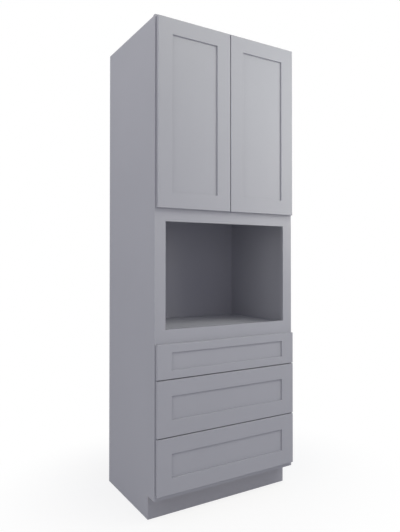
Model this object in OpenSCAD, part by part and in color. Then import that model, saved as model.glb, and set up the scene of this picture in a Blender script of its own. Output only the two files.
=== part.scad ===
// Tall oven cabinet with a face frame, two doors over the oven opening and three drawers below it.
// The box stands on the floor at z = 0, centred in x, with the doors and drawer fronts facing -y.

/* [Cabinet] */
// Width over the two side panels
cabinet_width = 838.2; // [762:0.1:914.4]
// Depth from the front of the face frame to the back edges of the sides
cabinet_depth = 609.6; // [600:0.1:660]
// Height from the floor to the top edges of the sides
cabinet_height = 2438.4; // [2286:0.1:2540]
// Thickness of the side panels, decks, top panel and toe board
panel_t = 12.7; // [12:0.1:16]
// Thickness of the shelf that carries the oven
oven_deck_t = 19.05; // [16:0.05:25.4]
// Thickness of the back panel
back_t = 6.35; // [5:0.05:9]
// Depth of the grooves in the sides that hold the decks and the back panel
groove_depth = 6.35; // [4:0.05:8]
// Distance of the top panel below the top edges of the sides
top_drop = 12.7; // [0:0.1:20]
// Height of the toe space at the front
toe_height = 114.3; // [90:0.1:130]
// Depth of the toe space behind the face frame's front
toe_depth = 76.2; // [60:0.1:90]
// Height of each hanging rail behind the back panel
hanging_rail_h = 88.9; // [60:0.1:110]
// Thickness of each hanging rail
hanging_rail_t = 15.9; // [12:0.1:19]

/* [Face frame] */
// Thickness of the face frame
frame_t = 19.05; // [18:0.05:22]
// Width of the two long stiles
stile_w = 38.1; // [38.1:0.1:44]
// Height of the face frame above the top edges of the sides
frame_rise = 4.8; // [0:0.1:8]
// Width of the short stiles that narrow the oven opening
oven_stile_w = 19.05; // [12:0.05:30]
// Height of the top rail
top_rail_h = 38.1; // [30:0.1:50]
// Height of the rails above and below the oven opening
oven_rail_h = 101.6; // [90:0.1:115]
// Height of the rails between the drawers
drawer_rail_h = 38.1; // [30:0.1:45]
// Height of the bottom rail
bottom_rail_h = 38.1; // [30:0.1:45]

/* [Oven opening] */
// Height of the opening's lower edge above the floor
oven_sill_z = 927.1; // [900:0.1:960]
// Height of the opening
oven_opening_h = 524.4; // [450:0.1:600]
// Distance of the oven shelf below the opening's lower edge
oven_deck_drop = 15.9; // [5:0.1:40]
// Width of the two cleats under the oven shelf
cleat_w = 19; // [15:0.1:25]
// Height of the cleats
cleat_h = 38; // [30:0.1:45]
// Distance of each cleat from the frame and from the back panel
cleat_end_gap = 10; // [2:0.5:30]

/* [Doors and drawer fronts] */
// Thickness of the doors and drawer fronts
front_t = 19.05; // [18.5:0.05:22]
// Gap that the bumpers leave between a closed front and the face frame
front_gap = 2; // [1.8:0.1:2.4]
// Face frame left uncovered beside the doors
side_reveal = 7.1; // [4:0.1:8]
// Face frame left uncovered beside the drawer fronts
drawer_side_reveal = 4.8; // [3:0.1:6]
// Face frame left uncovered above the doors
top_reveal = 9.1; // [6:0.1:12]
// Face frame left uncovered below the bottom drawer front
bottom_reveal = 25.4; // [15:0.1:30]
// Gap between the two doors
pair_gap = 4; // [2:0.1:5]
// Gap between two neighbouring drawer fronts
drawer_gap = 4.8; // [3:0.1:6]
// Cover of the doors over the rail above the oven
door_cover = 39.1; // [20:0.1:44]
// Cover of the top drawer front over the rail below the oven
drawer_cover = 34; // [20:0.1:38]
// Height of the top drawer front
top_front_h = 167.4; // [150:0.1:185]
// Width of the stiles and rails round each panel
member_w = 78; // [70:0.1:90]
// Height of the two rails of the top drawer front
slim_rail_w = 41.3; // [30:0.1:50]
// Thickness of the inset panels
inset_t = 6.35; // [5:0.05:7]
// Depth of the panels behind the front faces
inset_depth = 7.9; // [5.5:0.05:9]
// Depth of the groove round each panel, and length of the tongues on the rails
tongue_l = 9.5; // [7:0.1:12]
// Play of a panel in its groove at each edge
panel_play = 1; // [0.5:0.1:2]
// Width of the eased outer edges of the fronts
edge_ease = 1.2; // [0.5:0.1:2]
// Width of the bevelled edges of stiles and rails round each panel
inner_bevel = 1; // [0.5:0.1:4.5]

/* [Door hinges] */
// Diameter of the cup bored into the door
cup_d = 35; // [34:0.1:36]
// Depth of the cup bore
cup_depth = 13; // [12.8:0.1:14]
// Thickness of the pressed cup
cup_wall = 0.8; // [0.6:0.1:0.9]
// Play of the cup in its bore, on the radius
cup_play = 0.05; // [0.02:0.01:0.1]
// Door left between the cup and the door's edge
cup_edge = 5; // [4.5:0.1:5.5]
// Distance of each hinge from the door's top or bottom edge
hinge_end = 89; // [70:1:140]
// Distance of the turning centre inside the door's outer edge
pivot_in = 6; // [5.5:0.1:6.2]
// Distance of the turning centre in front of the door's back face
pivot_out = 16; // [15.8:0.1:16.3]
// Inner radius of the swinging link about the turning centre
link_r = 17.5; // [17.4:0.1:17.8]
// Thickness of each curved leaf of the hinge
leaf_t = 2.8; // [2:0.1:3]
// Running gap between the leaves and what they pass
leaf_gap = 0.5; // [0.4:0.05:0.6]
// Width of the curved leaves along the door's edge
leaf_w = 10; // [8:0.1:12]
// Angle about the turning centre where the cup's own leaf ends
cup_leaf_end = 85; // [80:0.5:86]
// Thickness of the flange that holds the cup on the door
flange_t = 1; // [0.8:0.1:1.1]
// Width of the flange's rim round the cup
flange_rim = 2; // [1.5:0.1:2.5]
// Width of the flange's two wings
flange_wing_w = 14; // [12:0.1:16]
// Diameter of the screw holes in the wings
flange_screw_d = 4; // [3:0.1:5]
// Distance between the two flange screws
flange_screw_pitch = 45; // [42:0.1:48]
// Distance of the flange screws from the cup's centre
flange_screw_in = 9.5; // [8:0.1:10]
// Thickness of the strap that carries the outer leaf
strap_t = 2.5; // [2:0.1:3]
// Height of the plate on the inner edge of the stile
hinge_plate_h = 44; // [36:0.5:60]
// Thickness of that plate
hinge_plate_t = 1.5; // [1:0.1:2]
// Distance of the plate from the front and back faces of the stile
plate_margin = 2; // [1:0.1:4]

/* [Shelves] */
// Thickness of the two adjustable shelves
shelf_t = 19.05; // [16:0.05:25.4]
// Gap between a shelf and what stands round it
shelf_gap = 2; // [1:0.1:4]
// Spacing of the shelf pin holes
pin_pitch = 64; // [32:1:96]
// Distance of the first and last pin hole from the compartment's ends
pin_end = 100; // [80:1:150]
// Distance of each row of holes from the frame and from the back panel
pin_row_in = 37; // [30:1:60]
// Diameter of the pin holes
pin_hole_d = 5; // [4.8:0.1:6.4]
// Depth of the pin holes
pin_hole_l = 9; // [8:0.1:10]
// Play of a pin in its hole, on the radius
pin_play = 0.05; // [0.02:0.01:0.1]
// Length of the ledge that a shelf lies on
pin_ledge = 10; // [8:0.1:14]

/* [Drawers] */
// Room for the slides' brackets between the drawer boxes and the back panel
box_back_gap = 55.95; // [30:0.05:80]
// Thickness of the box sides and ends
box_side_t = 15.9; // [12:0.1:16.5]
// Thickness of the box bottoms
box_bottom_t = 6.35; // [5:0.05:9]
// Depth of the groove that holds a box bottom
box_groove = 6.3; // [4:0.1:7]
// Gap between a box side and the edge of its opening
box_side_gap = 5; // [3:0.1:8]
// Height of a box above the lower edge of its opening
box_lift = 14.3; // [14:0.1:18]
// Room over a box below the upper edge of its opening
box_headroom = 19; // [12:0.1:25]
// Height of a box bottom above the lower edges of the box
bottom_recess = 12.7; // [12:0.1:14]
// Rough spacing of the dovetails
dovetail_pitch = 26; // [22:0.5:34]
// Narrow width of a dovetail as a share of the spacing
dovetail_share = 0.5; // [0.4:0.05:0.6]
// Slope of a dovetail's sides, as a length for one unit of width
dovetail_slope = 7; // [6:1:9]

/* [Drawer slides] */
// Outer width of the rail in the cabinet
rail_w = 38; // [34:0.1:42]
// Thickness of the steel of the slides
slide_t = 1.5; // [1.2:0.1:1.8]
// Side play between two members of a slide
slide_play = 0.4; // [0.3:0.05:0.6]
// Height of the cabinet rail above the lower edge of the drawer opening
rail_lift = 0.5; // [0.3:0.1:1]
// Height of the side walls of the cabinet rail
rail_h = 19.5; // [17:0.1:20]
// Length that the cabinet rail is longer than the box
rail_extra = 12; // [8:0.5:14]
// Distance of the cabinet rail inside the box side
rail_inset = 3; // [1:0.1:10]
// Height of the wing that fixes the rail behind the stile
wing_h = 12; // [8:0.1:13]
// Width of the wing that lies on the back of the stile
wing_cover = 14; // [10:0.1:20]
// Room round the slide in the notch of the box's back
notch_play = 2; // [1:0.1:4]
// Length of the rear bracket's arm inside the rail
bracket_grip = 14; // [8:0.5:16]
// Width of the rear bracket's arm
bracket_w = 22; // [16:0.5:26]
// Width of the rear bracket's plate
bracket_plate_w = 54; // [46:0.5:60]

/* [Hidden] */
$fn = 64;

// Places across the cabinet
half_w = cabinet_width / 2;
inner_x = half_w - panel_t;
opening_x = half_w - stile_w;
oven_opening_x = opening_x - oven_stile_w;
door_edge_x = half_w - side_reveal;
drawer_edge_x = half_w - drawer_side_reveal;

// Places from front to back
frame_y = (front_gap + front_t - cabinet_depth) / 2;
frame_back_y = frame_y + frame_t;
back_edge_y = frame_y + cabinet_depth;
back_y = back_edge_y - hanging_rail_t - back_t;
front_back_y = frame_y - front_gap;
front_y = front_back_y - front_t;
toe_y = frame_y + toe_depth;

// Heights of the cabinet
top_z = cabinet_height - top_drop;
frame_top_z = cabinet_height + frame_rise;
bottom_deck_z = toe_height + bottom_rail_h - panel_t;
oven_head_z = oven_sill_z + oven_opening_h;
upper_floor_z = oven_head_z + oven_rail_h;
upper_ceiling_z = top_z - panel_t;
oven_deck_z = oven_sill_z - oven_deck_drop - oven_deck_t;

// Doors
door_z = upper_floor_z - door_cover;
door_h = frame_top_z - top_reveal - door_z;
door_w = door_edge_x - pair_gap / 2;

// Drawer fronts and openings, from the top drawer down
fronts_bottom_z = toe_height + bottom_reveal;
fronts_top_z = oven_sill_z - oven_rail_h + drawer_cover;
tall_front_h = (fronts_top_z - fronts_bottom_z - top_front_h - 2 * drawer_gap) / 2;
drawer_front_h = [top_front_h, tall_front_h, tall_front_h];
drawer_front_z = [
    fronts_top_z - top_front_h,
    fronts_bottom_z + tall_front_h + drawer_gap,
    fronts_bottom_z
];
drawer_front_rail_w = [slim_rail_w, member_w, member_w];
upper_drawer_rail_z = drawer_front_z[0] - (drawer_gap + drawer_rail_h) / 2;
lower_drawer_rail_z = drawer_front_z[1] - (drawer_gap + drawer_rail_h) / 2;
drawer_opening_z = [
    upper_drawer_rail_z + drawer_rail_h,
    lower_drawer_rail_z + drawer_rail_h,
    toe_height + bottom_rail_h
];
drawer_opening_top = [oven_sill_z - oven_rail_h, upper_drawer_rail_z, lower_drawer_rail_z];

// Drawer boxes
box_x = opening_x - box_side_gap;
box_y = front_back_y;
box_length = back_y - box_back_gap - box_y;
box_z = [for (z = drawer_opening_z) z + box_lift];
box_h = [for (i = [0:2]) drawer_opening_top[i] - box_headroom - box_z[i]];
bottom_z = [for (z = box_z) z + bottom_recess];

// Drawer slides, with heights above the lower edge of the opening
rail_x = box_x - box_side_t - rail_inset - rail_w / 2;
middle_w = rail_w - 2 * (slide_t + slide_play);
runner_w = middle_w - 2 * (slide_t + slide_play);
middle_lift = rail_lift + slide_t + slide_play;
runner_lift = middle_lift + slide_t + slide_play;
rail_l = box_length + rail_extra;
middle_l = rail_l - bracket_grip - 2 * slide_t;
middle_h = rail_h + slide_t;
runner_y = box_y + box_side_t;

// Hinges of the left door
door_x = -door_edge_x;
pivot_x = door_x + pivot_in;
pivot_y = front_back_y - pivot_out;
cup_x = door_x + cup_edge + cup_d / 2;
hinge_z = [door_z + hinge_end, door_z + door_h - hinge_end];
cup_floor = pivot_out - cup_depth + cup_wall;
frame_reach = pivot_out + front_gap - leaf_gap;
arm_r = link_r + leaf_t + leaf_gap;
cup_leaf_r = link_r - leaf_gap - leaf_t;
strap_y = frame_reach - strap_t;
link_start = asin((cup_floor + leaf_gap) / link_r);
link_end = asin(frame_reach / (link_r + leaf_t));
arm_start = asin((cup_floor + leaf_gap) / arm_r);
arm_end = asin(frame_reach / (arm_r + leaf_t));

// Shelves and their pins
first_pin_z = upper_floor_z + pin_end;
pin_count = floor((upper_ceiling_z - pin_end - first_pin_z) / pin_pitch) + 1;
pin_rows_y = [frame_back_y + pin_row_in, back_y - pin_row_in];
shelf_steps = [floor(pin_count / 3), floor(pin_count * 2 / 3)];
pin_r = pin_hole_d / 2;

// Length by which a cut runs past a face
over = 1;

// Colours
paint = [0.60, 0.61, 0.64];
inside_paint = [0.56, 0.57, 0.60];
plywood = [0.80, 0.70, 0.54];
maple = [0.86, 0.76, 0.60];
steel = [0.72, 0.73, 0.75];

// A board between two opposite corners
module board(from, to) {
    translate(from) cube(to - from);
}

// The same piece on both sides of the cabinet
module both_sides() {
    children();
    mirror([1, 0, 0]) children();
}

// Back panel, also cut from the sides as its groove
module back_board() {
    x = inner_x + groove_depth;
    board([-x, back_y, bottom_deck_z], [x, back_y + back_t, top_z]);
}

// A deck between the sides, let into their grooves
module deck(z, t) {
    x = inner_x + groove_depth;
    board([-x, frame_back_y, z], [x, back_y, z + t]);
}

// All boards that sit in grooves
module grooved_boards() {
    back_board();
    deck(top_z - panel_t, panel_t);
    deck(upper_floor_z - panel_t, panel_t);
    deck(oven_deck_z, oven_deck_t);
    deck(bottom_deck_z, panel_t);
}

// Two rows of shelf pin holes in the inner face of the right side
module pin_holes() {
    for (y = pin_rows_y, i = [0:pin_count - 1])
        translate([inner_x + pin_hole_l, y, first_pin_z + i * pin_pitch])
            rotate([0, -90, 0]) cylinder(h = pin_hole_l + over, r = pin_r);
}

// Right side panel, notched for the toe space
module side_panel() {
    outline = [
        [toe_y, 0], [back_edge_y, 0], [back_edge_y, cabinet_height],
        [frame_back_y, cabinet_height], [frame_back_y, toe_height], [toe_y, toe_height]
    ];
    difference() {
        translate([inner_x, 0, 0]) rotate([90, 0, 90]) linear_extrude(panel_t) polygon(outline);
        grooved_boards();
        pin_holes();
    }
}

module left_side_panel() {
    color(paint) mirror([1, 0, 0]) side_panel();
}

module right_side_panel() {
    color(paint) side_panel();
}

module top_panel() {
    color(inside_paint) deck(top_z - panel_t, panel_t);
}

module upper_deck() {
    color(inside_paint) deck(upper_floor_z - panel_t, panel_t);
}

module oven_deck() {
    color(inside_paint) deck(oven_deck_z, oven_deck_t);
}

module bottom_deck() {
    color(inside_paint) deck(bottom_deck_z, panel_t);
}

module back_panel() {
    color(inside_paint) back_board();
}

// Three rails behind the back panel that take the wall screws
module hanging_rails() {
    heights = [bottom_deck_z, upper_floor_z - hanging_rail_h, top_z - hanging_rail_h];
    color(plywood) for (z = heights)
        board([-inner_x, back_y + back_t, z], [inner_x, back_edge_y, z + hanging_rail_h]);
}

module toe_board() {
    color(paint) board([-inner_x, toe_y, 0], [inner_x, toe_y + panel_t, bottom_deck_z]);
}

// Long right-hand stile of the face frame
module frame_stile() {
    board([opening_x, frame_y, toe_height], [half_w, frame_back_y, frame_top_z]);
}

module frame_left_stile() {
    color(paint) mirror([1, 0, 0]) frame_stile();
}

module frame_right_stile() {
    color(paint) frame_stile();
}

// Rail of the face frame between the long stiles
module frame_rail(z, h) {
    color(paint) board([-opening_x, frame_y, z], [opening_x, frame_back_y, z + h]);
}

module frame_top_rail() {
    frame_rail(frame_top_z - top_rail_h, top_rail_h);
}

module frame_upper_oven_rail() {
    frame_rail(oven_head_z, oven_rail_h);
}

module frame_lower_oven_rail() {
    frame_rail(oven_sill_z - oven_rail_h, oven_rail_h);
}

module frame_drawer_rails() {
    frame_rail(upper_drawer_rail_z, drawer_rail_h);
    frame_rail(lower_drawer_rail_z, drawer_rail_h);
}

module frame_bottom_rail() {
    frame_rail(toe_height, bottom_rail_h);
}

// Short stiles that narrow the frame to the oven
module oven_opening_stiles() {
    color(paint) both_sides()
        board([oven_opening_x, frame_y, oven_sill_z], [opening_x, frame_back_y, oven_head_z]);
}

// Cleats on the sides that carry the oven shelf
module oven_deck_cleats() {
    color(plywood) both_sides() board(
        [inner_x - cleat_w, frame_back_y + cleat_end_gap, oven_deck_z - cleat_h],
        [inner_x, back_y - cleat_end_gap, oven_deck_z]
    );
}

module adjustable_shelves() {
    x = inner_x - shelf_gap;
    color(inside_paint) for (step = shelf_steps) {
        z = first_pin_z + step * pin_pitch + pin_r;
        board([-x, frame_back_y + shelf_gap, z], [x, back_y - shelf_gap, z + shelf_t]);
    }
}

// Pin with a round plug in the side and a ledge twice as wide, flat on top, under the shelf
module shelf_pin() {
    rotate([0, 90, 0]) cylinder(h = pin_hole_l, r = pin_r - pin_play);
    intersection() {
        translate([-pin_ledge, 0, 0]) rotate([0, 90, 0]) cylinder(h = pin_ledge, r = pin_hole_d);
        board([-pin_ledge, -pin_hole_d, -pin_hole_d], [0, pin_hole_d, pin_r]);
    }
}

module shelf_pins() {
    color(steel) both_sides() for (y = pin_rows_y, step = shelf_steps)
        translate([inner_x, y, first_pin_z + step * pin_pitch]) shelf_pin();
}

// Outline of a stile or rail across its width and back from the front face, grooved for the panel
function member_outline(w) = [
    [0, front_t], [0, edge_ease], [edge_ease, 0], [w - inner_bevel, 0], [w, inner_bevel],
    [w, inset_depth], [w - tongue_l, inset_depth],
    [w - tongue_l, inset_depth + inset_t], [w, inset_depth + inset_t], [w, front_t]
];

// Upright member with its outer edge at x = 0 and eased ends
module front_stile(w, h) {
    intersection() {
        linear_extrude(h) polygon(member_outline(w));
        rotate([90, 0, 90]) linear_extrude(w) polygon([
            [front_t, 0], [edge_ease, 0], [0, edge_ease],
            [0, h - edge_ease], [edge_ease, h], [front_t, h]
        ]);
    }
}

// Level member with its outer edge at z = 0, ends shaped to the stiles' bevels, and end tongues
module front_rail(w, l) {
    intersection() {
        translate([-inner_bevel, 0, 0]) rotate([90, 0, 90]) linear_extrude(l + 2 * inner_bevel)
            polygon([for (p = member_outline(w)) [p[1], p[0]]]);
        linear_extrude(w) polygon([
            [0, front_t], [0, inner_bevel], [-inner_bevel, 0],
            [l + inner_bevel, 0], [l, inner_bevel], [l, front_t]
        ]);
    }
    for (x = [-tongue_l, l])
        board([x, inset_depth, 0], [x + tongue_l, inset_depth + inset_t, w - tongue_l]);
}

// Both rails of a front that is w wide and h high
module front_rails(w, h, rail_w) {
    l = w - 2 * member_w;
    translate([member_w, 0, 0]) front_rail(rail_w, l);
    translate([member_w, 0, h]) mirror([0, 0, 1]) front_rail(rail_w, l);
}

// Flat panel floating in the grooves of a front
module front_panel(w, h, rail_w) {
    x = member_w - tongue_l + panel_play;
    z = rail_w - tongue_l + panel_play;
    board([x, inset_depth, z], [w - x, inset_depth + inset_t, h - z]);
}

// Bores for the hinge cups in the back of the left door's hinge stile
module cup_bores() {
    for (z = hinge_z)
        translate([cup_x, front_back_y + over, z])
            rotate([90, 0, 0]) cylinder(h = cup_depth + over, d = cup_d);
}

module door_hinge_stile() {
    color(paint) difference() {
        translate([door_x, front_y, door_z]) front_stile(member_w, door_h);
        cup_bores();
    }
}

module door_lock_stile() {
    color(paint) translate([door_x + door_w, front_y, door_z])
        mirror([1, 0, 0]) front_stile(member_w, door_h);
}

module door_rails() {
    color(paint) translate([door_x, front_y, door_z]) front_rails(door_w, door_h, member_w);
}

module door_panel() {
    color(paint) translate([door_x, front_y, door_z]) front_panel(door_w, door_h, member_w);
}

// Places its children at the turning centre of each hinge, with x along the door and y to the back
module at_hinges() {
    for (z = hinge_z) translate([pivot_x, pivot_y, z]) children();
}

// Curved leaf about the turning centre, from one angle to another
module leaf(r, from, to) {
    rotate([0, 0, from]) translate([0, 0, -leaf_w / 2])
        rotate_extrude(angle = to - from) translate([r, 0]) square([leaf_t, leaf_w]);
}

// Flange of the cup, seen from the back, with holes for two screws
module flange_outline() {
    difference() {
        union() {
            circle(d = cup_d + 2 * flange_rim);
            translate([flange_screw_in, 0])
                square([flange_wing_w, flange_screw_pitch + flange_wing_w], center = true);
        }
        circle(d = cup_d - 2 * cup_wall);
        for (side = [-1, 1])
            translate([flange_screw_in, side * flange_screw_pitch / 2]) circle(d = flange_screw_d);
    }
}

// Cup pressed into the door, with its flange and the inner leaf that the link slides round
module hinge_cups() {
    color(steel) for (z = hinge_z) {
        translate([cup_x, front_back_y, z]) rotate([90, 0, 0]) {
            difference() {
                cylinder(h = cup_depth, d = cup_d - 2 * cup_play);
                translate([0, 0, -over])
                    cylinder(h = cup_depth + over - cup_wall, d = cup_d - 2 * cup_wall);
            }
            translate([0, 0, -flange_t]) linear_extrude(flange_t) flange_outline();
        }
        translate([pivot_x, pivot_y, z]) intersection() {
            leaf(cup_leaf_r, 0, cup_leaf_end);
            board([0, cup_floor - cup_wall / 2, -leaf_w], [cup_d, cup_d, leaf_w]);
        }
    }
}

// Swinging links that bridge the cups and the fixed arms
module hinge_links() {
    color(steel) at_hinges() leaf(link_r, link_start, link_end);
}

// Plate on the inner edge of the stile, with the strap and outer leaf that reach into the cup
module hinge_arm() {
    edge_x = -opening_x - pivot_x;
    frame_front = pivot_out + front_gap;
    strap_x = (arm_r + leaf_t / 2) * cos(arm_end);
    leaf(arm_r, arm_start, arm_end);
    board([strap_x, strap_y, -leaf_w / 2], [edge_x + leaf_t, frame_reach, leaf_w / 2]);
    plate_end = frame_front + frame_t - plate_margin;
    board([edge_x, strap_y, -leaf_w / 2], [edge_x + leaf_t, plate_end, leaf_w / 2]);
    board(
        [edge_x, frame_front + plate_margin, -hinge_plate_h / 2],
        [edge_x + hinge_plate_t, plate_end, hinge_plate_h / 2]
    );
}

module hinge_arms() {
    color(steel) both_sides() at_hinges() hinge_arm();
}

// Places its children at the lower left front corner of a drawer's front
module at_front(i) {
    translate([-drawer_edge_x, front_y, drawer_front_z[i]]) children();
}

module drawer_front_stiles(i) {
    color(paint) both_sides() at_front(i) front_stile(member_w, drawer_front_h[i]);
}

module drawer_front_rails(i) {
    color(paint) at_front(i) front_rails(2 * drawer_edge_x, drawer_front_h[i], drawer_front_rail_w[i]);
}

module drawer_front_panel(i) {
    color(paint) at_front(i) front_panel(2 * drawer_edge_x, drawer_front_h[i], drawer_front_rail_w[i]);
}

// Dovetails of the right side at the front of a box that is h high, from y = 0
module dovetails(h) {
    count = max(2, round(h / dovetail_pitch));
    step = h / count;
    root = step * dovetail_share / 2;
    tip = root + box_side_t / dovetail_slope;
    for (i = [0:count - 1])
        translate([box_x - box_side_t, 0, (i + 0.5) * step]) rotate([90, 0, 90])
            linear_extrude(box_side_t)
                polygon([[0, -tip], [box_side_t, -root], [box_side_t, root], [0, tip]]);
}

// Dovetails at all four corners of a box
module corner_dovetails(h) {
    both_sides() {
        dovetails(h);
        translate([0, box_length, 0]) mirror([0, 1, 0]) dovetails(h);
    }
}

// Bottom of a box, also cut from the box as its groove
module box_bottom() {
    x = box_x - box_side_t + box_groove;
    y = box_side_t - box_groove;
    board([-x, y, bottom_recess], [x, box_length - y, bottom_recess + box_bottom_t]);
}

module at_box(i) {
    translate([0, box_y, box_z[i]]) children();
}

module drawer_sides(i) {
    color(maple) at_box(i) difference() {
        union() {
            both_sides() board(
                [box_x - box_side_t, box_side_t, 0],
                [box_x, box_length - box_side_t, box_h[i]]
            );
            corner_dovetails(box_h[i]);
        }
        box_bottom();
    }
}

// Front and back of a box, cut for the dovetails and, at the back, for the slides
module drawer_ends(i) {
    notch = rail_w / 2 + notch_play;
    color(maple) at_box(i) difference() {
        for (y = [0, box_length - box_side_t])
            board([-box_x, y, 0], [box_x, y + box_side_t, box_h[i]]);
        corner_dovetails(box_h[i]);
        box_bottom();
        both_sides() board(
            [rail_x - notch, box_length - box_side_t - over, -over],
            [rail_x + notch, box_length + over, bottom_recess]
        );
    }
}

module drawer_bottom(i) {
    color(maple) at_box(i) box_bottom();
}

// Channel of folded steel along y, open at the top, with its lowest point at z = 0
module channel(w, h, l) {
    translate([0, l, 0]) rotate([90, 0, 0]) linear_extrude(l) difference() {
        translate([-w / 2, 0]) square([w, h]);
        translate([slide_t - w / 2, slide_t]) square([w - 2 * slide_t, h]);
    }
}

// Cabinet rails of all drawers, each with a wing fixed to the back of the stile
module slide_rails() {
    color(steel) both_sides() for (z = drawer_opening_z) translate([0, frame_back_y, z + rail_lift]) {
        translate([rail_x, 0, 0]) channel(rail_w, rail_h, rail_l);
        board([rail_x + rail_w / 2 - slide_t, 0, 0], [opening_x + wing_cover, slide_t, wing_h]);
    }
}

// Brackets on the back panel, each with an arm in the end of a cabinet rail
module slide_rear_brackets() {
    arm_y = frame_back_y + rail_l - bracket_grip;
    color(steel) both_sides() for (z = drawer_opening_z) translate([rail_x, 0, z + rail_lift]) {
        board([-bracket_w / 2, arm_y, slide_t], [bracket_w / 2, back_y, 2 * slide_t]);
        board([-bracket_plate_w / 2, back_y - slide_t, 0], [bracket_plate_w / 2, back_y, rail_h]);
    }
}

// Middle members of a drawer's two slides
module drawer_slide_middles(i) {
    color(steel) both_sides()
        translate([rail_x, frame_back_y + slide_t, drawer_opening_z[i] + middle_lift])
            channel(middle_w, middle_h, middle_l);
}

// Runners under a drawer's bottom
module drawer_slide_runners(i) {
    h = bottom_z[i] - drawer_opening_z[i] - runner_lift;
    l = box_length - box_side_t;
    color(steel) both_sides()
        translate([rail_x, runner_y, bottom_z[i]]) mirror([0, 0, 1]) channel(runner_w, h, l);
}

left_side_panel();
right_side_panel();
top_panel();
upper_deck();
oven_deck();
bottom_deck();
back_panel();
hanging_rails();
toe_board();
frame_left_stile();
frame_right_stile();
frame_top_rail();
frame_upper_oven_rail();
frame_lower_oven_rail();
frame_drawer_rails();
frame_bottom_rail();
oven_opening_stiles();
adjustable_shelves();
shelf_pins();
oven_deck_cleats();
hinge_arms();
slide_rails();
slide_rear_brackets();
door_hinge_stile();  // left_door_hinge_stile
door_lock_stile();  // left_door_lock_stile
door_rails();  // left_door_rails
door_panel();  // left_door_panel
hinge_cups();  // left_hinge_cups
hinge_links();  // left_hinge_links
mirror([1, 0, 0]) door_hinge_stile();  // right_door_hinge_stile
mirror([1, 0, 0]) door_lock_stile();  // right_door_lock_stile
mirror([1, 0, 0]) door_rails();  // right_door_rails
mirror([1, 0, 0]) door_panel();  // right_door_panel
mirror([1, 0, 0]) hinge_cups();  // right_hinge_cups
mirror([1, 0, 0]) hinge_links();  // right_hinge_links
drawer_front_stiles(0);  // top_drawer_front_stiles
drawer_front_rails(0);  // top_drawer_front_rails
drawer_front_panel(0);  // top_drawer_front_panel
drawer_sides(0);  // top_drawer_sides
drawer_ends(0);  // top_drawer_ends
drawer_bottom(0);  // top_drawer_bottom
drawer_slide_runners(0);  // top_drawer_slide_runners
drawer_slide_middles(0);  // top_drawer_slide_middles
drawer_front_stiles(1);  // middle_drawer_front_stiles
drawer_front_rails(1);  // middle_drawer_front_rails
drawer_front_panel(1);  // middle_drawer_front_panel
drawer_sides(1);  // middle_drawer_sides
drawer_ends(1);  // middle_drawer_ends
drawer_bottom(1);  // middle_drawer_bottom
drawer_slide_runners(1);  // middle_drawer_slide_runners
drawer_slide_middles(1);  // middle_drawer_slide_middles
drawer_front_stiles(2);  // bottom_drawer_front_stiles
drawer_front_rails(2);  // bottom_drawer_front_rails
drawer_front_panel(2);  // bottom_drawer_front_panel
drawer_sides(2);  // bottom_drawer_sides
drawer_ends(2);  // bottom_drawer_ends
drawer_bottom(2);  // bottom_drawer_bottom
drawer_slide_runners(2);  // bottom_drawer_slide_runners
drawer_slide_middles(2);  // bottom_drawer_slide_middles
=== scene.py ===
import math

import bmesh
import bpy
from mathutils import Matrix, Vector


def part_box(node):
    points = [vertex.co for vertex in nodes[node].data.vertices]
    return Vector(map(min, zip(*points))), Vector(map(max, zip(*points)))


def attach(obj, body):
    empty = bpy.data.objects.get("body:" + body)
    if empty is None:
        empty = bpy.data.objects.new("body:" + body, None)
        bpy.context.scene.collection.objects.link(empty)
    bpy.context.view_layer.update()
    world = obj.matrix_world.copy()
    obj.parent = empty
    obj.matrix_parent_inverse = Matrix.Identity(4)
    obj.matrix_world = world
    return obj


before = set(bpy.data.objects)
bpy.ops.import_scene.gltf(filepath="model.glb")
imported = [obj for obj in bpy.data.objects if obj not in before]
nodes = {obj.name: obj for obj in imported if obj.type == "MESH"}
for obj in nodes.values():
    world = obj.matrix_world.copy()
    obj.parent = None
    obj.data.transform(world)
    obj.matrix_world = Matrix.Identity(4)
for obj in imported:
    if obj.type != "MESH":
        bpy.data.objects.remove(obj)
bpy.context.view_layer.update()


# The photographer's camera stands at the cabinet's left front corner, at chest height, and looks
# almost level. The picture is cropped a little off the lens axis. It is upright, so its height
# spans the sensor's long side.
IMAGE_HEIGHT_PX = 532
FOCAL_PX = 520.97
LENS_AXIS_RIGHT_OF_CENTRE_PX = 24.76
LENS_AXIS_ABOVE_CENTRE_PX = 11.08
SENSOR_MM = 36
CAMERA_PLACE = (-1.4751, -2.5655, 1.2616)
CAMERA_TURN_DEG = 32.591
CAMERA_TILT_DEG = 0.607
camera_data = bpy.data.cameras.new("camera")
camera_data.sensor_width = SENSOR_MM
camera_data.lens = SENSOR_MM * FOCAL_PX / IMAGE_HEIGHT_PX
camera_data.shift_x = -LENS_AXIS_RIGHT_OF_CENTRE_PX / IMAGE_HEIGHT_PX
camera_data.shift_y = -LENS_AXIS_ABOVE_CENTRE_PX / IMAGE_HEIGHT_PX
camera = bpy.data.objects.new("camera", camera_data)
camera.location = CAMERA_PLACE
camera.rotation_euler = (math.radians(90 + CAMERA_TILT_DEG), 0, math.radians(-CAMERA_TURN_DEG))
bpy.context.scene.collection.objects.link(camera)
bpy.context.scene.camera = camera
bpy.context.scene.view_settings.view_transform = "Standard"


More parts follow.
